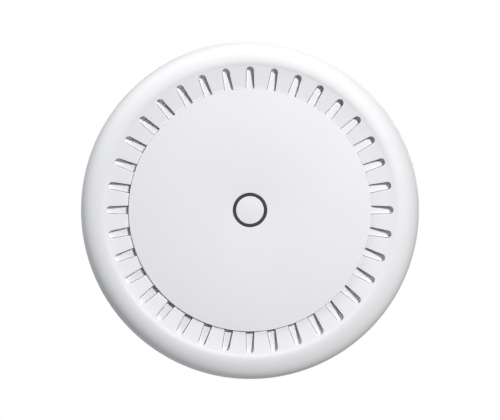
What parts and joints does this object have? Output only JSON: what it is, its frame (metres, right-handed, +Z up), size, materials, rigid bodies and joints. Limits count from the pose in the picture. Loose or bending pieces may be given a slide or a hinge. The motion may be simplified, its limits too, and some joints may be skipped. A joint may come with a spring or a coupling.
{
  "type": "ceiling access point",
  "caption": "Round ceiling wireless access point with a vented rim, flat face disc, status light ring and twist-lock mounting plate.",
  "frame": {"origin": "centre of the mounting plate's top face, where it meets the ceiling", "axes": "+Z up into the ceiling, along the axis of the round housing and of the twist lock; the network sockets look towards -Y; the face looks towards -Z"},
  "size_m": [0.191, 0.191, 0.041],
  "materials": {
    "white_shell": "fine matt moulded plastic",
    "status_grey": "smoked translucent plastic, satin",
    "zinc_steel": "zinc-plated sheet steel",
    "screw_steel": "zinc-plated",
    "can_steel": "tinned sheet steel",
    "plain_aluminium": "milled and clear anodised",
    "antenna_brass": "stamped and bright",
    "contact_gold": "gold flashed",
    "board_green": "solder-masked laminate",
    "chip_black": "moulded epoxy",
    "coil_brown": "varnished winding and ferrite",
    "cable_grey": "smooth jacket",
    "pad_blue": "soft thermal pad",
    "led_white": "moulded lens",
    "label_paper": "blank matt film"
  },
  "bodies": {
    "ceiling_plate": {"mounting_plate": "zinc_steel"},
    "access_point": {"front_housing": "white_shell", "face_disc": "white_shell", "light_ring": "status_grey", "centre_cap": "white_shell", "rear_housing": "white_shell", "rating_label": "label_paper", "main_board": "board_green", "processor": "chip_black", "thermal_pad": "pad_blue", "heat_sink": "plain_aluminium", "memory_chip_1": "chip_black", "memory_chip_2": "chip_black", "flash_chip": "chip_black", "lan_transformer_1": "chip_black", "lan_transformer_2": "chip_black", "poe_transformer": "coil_brown", "power_inductor": "chip_black", "capacitor_1": "plain_aluminium", "capacitor_2": "plain_aluminium", "capacitor_3": "plain_aluminium", "shield_can_2g": "can_steel", "shield_can_5g": "can_steel", "status_led_1": "led_white", "status_led_2": "led_white", "ethernet_jack_1": "can_steel", "ethernet_jack_2": "can_steel", "jack_contacts_1": "contact_gold", "jack_contacts_2": "contact_gold", "reset_switch": "chip_black", "reflector_plate": "plain_aluminium", "antenna_2g_1": "antenna_brass", "antenna_2g_2": "antenna_brass", "antenna_5g_1": "antenna_brass", "antenna_5g_2": "antenna_brass", "housing_screw_1": "screw_steel", "board_screw_1": "screw_steel", "board_spacer_1": "antenna_brass", "antenna_cable_1": "cable_grey", "coax_plug_1": "contact_gold", "housing_screw_2": "screw_steel", "board_screw_2": "screw_steel", "board_spacer_2": "antenna_brass", "antenna_cable_2": "cable_grey", "coax_plug_2": "contact_gold", "housing_screw_3": "screw_steel", "board_screw_3": "screw_steel", "board_spacer_3": "antenna_brass", "antenna_cable_3": "cable_grey", "coax_plug_3": "contact_gold", "housing_screw_4": "screw_steel", "board_screw_4": "screw_steel", "board_spacer_4": "antenna_brass", "antenna_cable_4": "cable_grey", "coax_plug_4": "contact_gold"},
    "reset_button": {"reset_button": "status_grey"},
    "exit_cover": {"cable_exit_cover": "white_shell"}
  },
  "joints": [
    {"name": "twist_lock", "type": "hinge", "parent": "ceiling_plate", "child": "access_point", "pos_m": [0, 0, 0], "axis": [0, 0, 1], "range_deg": [-15, 0]},
    {"name": "reset_press", "type": "slide", "parent": "access_point", "child": "reset_button", "axis": [0, 1, 0], "range_m": [0, 0.0005], "stiffness_N_per_m": 400, "springref_m": -0.001},
    {"name": "cover_pull", "type": "slide", "parent": "access_point", "child": "exit_cover", "axis": [0, -1, 0], "range_m": [0, 0.012]}
  ]
}
